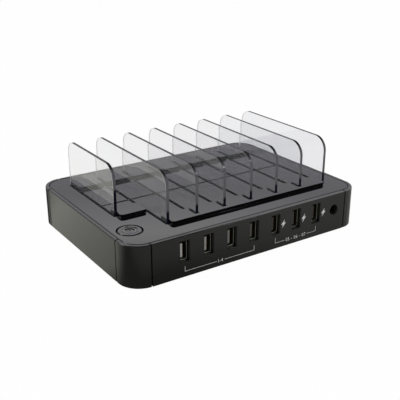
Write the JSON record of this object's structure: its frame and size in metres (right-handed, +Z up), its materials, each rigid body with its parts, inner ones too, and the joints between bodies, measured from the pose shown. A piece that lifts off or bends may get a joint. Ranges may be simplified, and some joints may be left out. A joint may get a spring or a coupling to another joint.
{
  "type": "charging station organizer",
  "caption": "Low black desktop USB charger with a row of clear upright plates that lift out, a row of upright sockets, a round power inlet and a round push button.",
  "frame": {"origin": "on the table, below the middle of the case", "axes": "+Z up, +X to the right along the front, +Y from the front to the rear"},
  "size_m": [0.19, 0.138, 0.0635],
  "materials": {
    "housing": "moulded dark plastic, satin gloss",
    "cover": "piano black, high gloss",
    "clear_plate": "clear acrylic, polished edges",
    "feet": "moulded rubber",
    "screws": "zinc plated",
    "board": "solder mask",
    "switch": "moulded",
    "button": "high gloss",
    "jack": "moulded",
    "jack_pin": "nickel plated",
    "chips": "moulded",
    "inductors": "pressed ferrite",
    "capacitors": "drawn can",
    "socket_shell": "nickel plated sheet",
    "socket_insulator": "moulded, pale grey",
    "contacts": "gilt"
  },
  "bodies": {
    "case": {"base_tray": "housing", "front_panel": "housing", "rear_panel": "housing", "left_panel": "housing", "right_panel": "housing", "top_cover": "cover", "feet": "feet", "case_screws": "screws", "board_screws": "screws", "circuit_board": "board", "switch_body": "switch", "dc_jack": "jack", "dc_jack_pin": "jack_pin", "charge_chips": "chips", "inductors": "inductors", "capacitors": "capacitors", "usb_shell_1": "socket_shell", "usb_shell_2": "socket_shell", "usb_shell_3": "socket_shell", "usb_shell_4": "socket_shell", "usb_shell_5": "socket_shell", "usb_shell_6": "socket_shell", "usb_shell_7": "socket_shell", "usb_tongue_1": "socket_insulator", "usb_tongue_2": "socket_insulator", "usb_tongue_3": "socket_insulator", "usb_tongue_4": "socket_insulator", "usb_tongue_5": "socket_insulator", "usb_tongue_6": "socket_insulator", "usb_tongue_7": "socket_insulator", "usb_contacts_1": "contacts", "usb_contacts_2": "contacts", "usb_contacts_3": "contacts", "usb_contacts_4": "contacts", "usb_contacts_5": "contacts", "usb_contacts_6": "contacts", "usb_contacts_7": "contacts"},
    "button": {"power_button": "button", "switch_plunger": "switch"},
    "divider_1": {"divider_1": "clear_plate"},
    "divider_2": {"divider_2": "clear_plate"},
    "divider_3": {"divider_3": "clear_plate"},
    "divider_4": {"divider_4": "clear_plate"},
    "divider_5": {"divider_5": "clear_plate"},
    "divider_6": {"divider_6": "clear_plate"},
    "divider_7": {"divider_7": "clear_plate"},
    "divider_8": {"divider_8": "clear_plate"}
  },
  "joints": [
    {"name": "button_press", "type": "slide", "parent": "case", "child": "button", "axis": [0, 0, -1], "range_m": [0, 0.0012], "stiffness_N_per_m": 1500, "springref_m": -0.0004},
    {"name": "divider_1_lift", "type": "slide", "parent": "case", "child": "divider_1", "axis": [0, 0, 1], "range_m": [0, 0.045]},
    {"name": "divider_2_lift", "type": "slide", "parent": "case", "child": "divider_2", "axis": [0, 0, 1], "range_m": [0, 0.045]},
    {"name": "divider_3_lift", "type": "slide", "parent": "case", "child": "divider_3", "axis": [0, 0, 1], "range_m": [0, 0.045]},
    {"name": "divider_4_lift", "type": "slide", "parent": "case", "child": "divider_4", "axis": [0, 0, 1], "range_m": [0, 0.045]},
    {"name": "divider_5_lift", "type": "slide", "parent": "case", "child": "divider_5", "axis": [0, 0, 1], "range_m": [0, 0.045]},
    {"name": "divider_6_lift", "type": "slide", "parent": "case", "child": "divider_6", "axis": [0, 0, 1], "range_m": [0, 0.045]},
    {"name": "divider_7_lift", "type": "slide", "parent": "case", "child": "divider_7", "axis": [0, 0, 1], "range_m": [0, 0.045]},
    {"name": "divider_8_lift", "type": "slide", "parent": "case", "child": "divider_8", "axis": [0, 0, 1], "range_m": [0, 0.045]}
  ]
}
